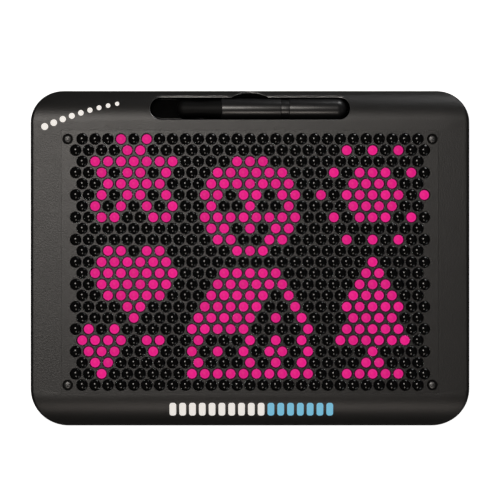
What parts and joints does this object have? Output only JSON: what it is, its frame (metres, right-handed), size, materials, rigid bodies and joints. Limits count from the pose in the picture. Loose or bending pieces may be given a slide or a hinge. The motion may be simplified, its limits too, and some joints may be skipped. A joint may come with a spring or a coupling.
{
  "type": "light-up push-pin sketching board",
  "caption": "Slab-shaped drawing toy with a staggered field of clear push pins that glow pink when pressed, a pen tray and a stylus.",
  "frame": {"origin": "middle of the board in plan, on the plane that its four feet stand on", "axes": "+Z out of the pin face, +Y towards the pen tray, +X to the right as one draws on it"},
  "size_m": [0.34, 0.26, 0.0345],
  "materials": {
    "front_shell_plastic": "satin black moulded plastic",
    "pin_panel_plastic": "satin black moulded plastic with chamfered holes",
    "rear_shell_plastic": "fine spark-textured black plastic",
    "raised_pin_plastic": "polished clear plastic, unlit",
    "lit_pin_plastic": "polished clear plastic, lit pink from below",
    "dark_screw_steel": "black oxide steel",
    "screw_steel": "zinc-plated steel",
    "foot_rubber": "soft black rubber",
    "clear_acrylic": "clear acrylic",
    "led_strip": "white solder mask",
    "wire_insulation": "red vinyl",
    "white_plastic": "white moulded plastic",
    "slide_plastic": "orange low-friction plastic",
    "grip_plastic": "black moulded plastic",
    "battery_jacket": "plain plastic-jacketed cell",
    "contact_steel": "nickel-plated spring steel",
    "circuit_board": "green solder mask",
    "power_button_plastic": "red moulded plastic",
    "mode_button_plastic": "grey moulded plastic",
    "nib_rubber": "smooth black nib",
    "stylus_plastic": "satin-gloss black plastic",
    "white_ink": "printed white ink",
    "blue_ink": "printed light-blue ink"
  },
  "bodies": {
    "board": {"front_shell": "front_shell_plastic", "pin_panel": "pin_panel_plastic", "panel_screws": "dark_screw_steel", "rear_shell": "rear_shell_plastic", "case_screws": "screw_steel", "rubber_feet": "foot_rubber", "light_guide": "clear_acrylic", "led_strip_left": "led_strip", "led_strip_right": "led_strip", "led_wires": "wire_insulation", "battery_door": "rear_shell_plastic", "battery_door_screw": "screw_steel", "batteries": "battery_jacket", "battery_spring": "contact_steel", "battery_contact": "contact_steel", "main_board": "circuit_board", "board_components": "grip_plastic", "tact_switches": "grip_plastic"},
    "lit_pins": {"lit_pins_flower": "lit_pin_plastic", "lit_pins_face": "lit_pin_plastic", "lit_pins_sun": "lit_pin_plastic", "lit_pins_heart": "lit_pin_plastic", "lit_pins_small_heart": "lit_pin_plastic", "lit_pins_tiny_heart": "lit_pin_plastic", "lit_pins_house": "lit_pin_plastic", "lit_pins_tree": "lit_pin_plastic"},
    "raised_rows_1_3": {"raised_pins_rows_1_3": "raised_pin_plastic"},
    "raised_rows_4_6": {"raised_pins_rows_4_6": "raised_pin_plastic"},
    "raised_rows_7_9": {"raised_pins_rows_7_9": "raised_pin_plastic"},
    "raised_rows_10_12": {"raised_pins_rows_10_12": "raised_pin_plastic"},
    "raised_rows_13_15": {"raised_pins_rows_13_15": "raised_pin_plastic"},
    "raised_rows_16_18": {"raised_pins_rows_16_18": "raised_pin_plastic"},
    "raised_rows_19_21": {"raised_pins_rows_19_21": "raised_pin_plastic"},
    "raised_rows_22_23": {"raised_pins_rows_22_23": "raised_pin_plastic"},
    "reset_plate": {"reset_plate": "white_plastic"},
    "reset_slide": {"reset_slide": "slide_plastic", "reset_grip": "grip_plastic"},
    "power_button": {"power_button": "power_button_plastic"},
    "mode_button": {"mode_button": "mode_button_plastic"},
    "stylus": {"stylus_nib": "nib_rubber", "stylus_barrel": "stylus_plastic", "stylus_collar": "grip_plastic", "stylus_cap": "stylus_plastic"}
  },
  "joints": [
    {"name": "reset_slide_travel", "type": "slide", "parent": "board", "child": "reset_slide", "axis": [1, 0, 0], "range_m": [0, 0.02]},
    {"name": "reset_plate_lift", "type": "slide", "parent": "board", "child": "reset_plate", "axis": [0, 0, 1], "range_m": [0, 0.004]},
    {"name": "lit_pins_lift", "type": "slide", "parent": "board", "child": "lit_pins", "axis": [0, 0, 1], "range_m": [0, 0.004]},
    {"name": "press_rows_1_3", "type": "slide", "parent": "board", "child": "raised_rows_1_3", "axis": [0, 0, 1], "range_m": [-0.004, 0]},
    {"name": "press_rows_4_6", "type": "slide", "parent": "board", "child": "raised_rows_4_6", "axis": [0, 0, 1], "range_m": [-0.004, 0]},
    {"name": "press_rows_7_9", "type": "slide", "parent": "board", "child": "raised_rows_7_9", "axis": [0, 0, 1], "range_m": [-0.004, 0]},
    {"name": "press_rows_10_12", "type": "slide", "parent": "board", "child": "raised_rows_10_12", "axis": [0, 0, 1], "range_m": [-0.004, 0]},
    {"name": "press_rows_13_15", "type": "slide", "parent": "board", "child": "raised_rows_13_15", "axis": [0, 0, 1], "range_m": [-0.004, 0]},
    {"name": "press_rows_16_18", "type": "slide", "parent": "board", "child": "raised_rows_16_18", "axis": [0, 0, 1], "range_m": [-0.004, 0]},
    {"name": "press_rows_19_21", "type": "slide", "parent": "board", "child": "raised_rows_19_21", "axis": [0, 0, 1], "range_m": [-0.004, 0]},
    {"name": "press_rows_22_23", "type": "slide", "parent": "board", "child": "raised_rows_22_23", "axis": [0, 0, 1], "range_m": [-0.004, 0]},
    {"name": "power_button_press", "type": "slide", "parent": "board", "child": "power_button", "axis": [0, 0, 1], "range_m": [0, 0.001], "stiffness_N_per_m": 800, "springref_m": -0.001},
    {"name": "mode_button_press", "type": "slide", "parent": "board", "child": "mode_button", "axis": [0, 0, 1], "range_m": [0, 0.001], "stiffness_N_per_m": 800, "springref_m": -0.001},
    {"name": "stylus_lift", "type": "slide", "parent": "board", "child": "stylus", "axis": [0, 0, 1], "range_m": [0, 0.05]}
  ],
  "couplings": [
    {"joint": "reset_plate_lift", "follows": "reset_slide_travel", "ratio": 0.2},
    {"joint": "lit_pins_lift", "follows": "reset_slide_travel", "ratio": 0.2}
  ]
}
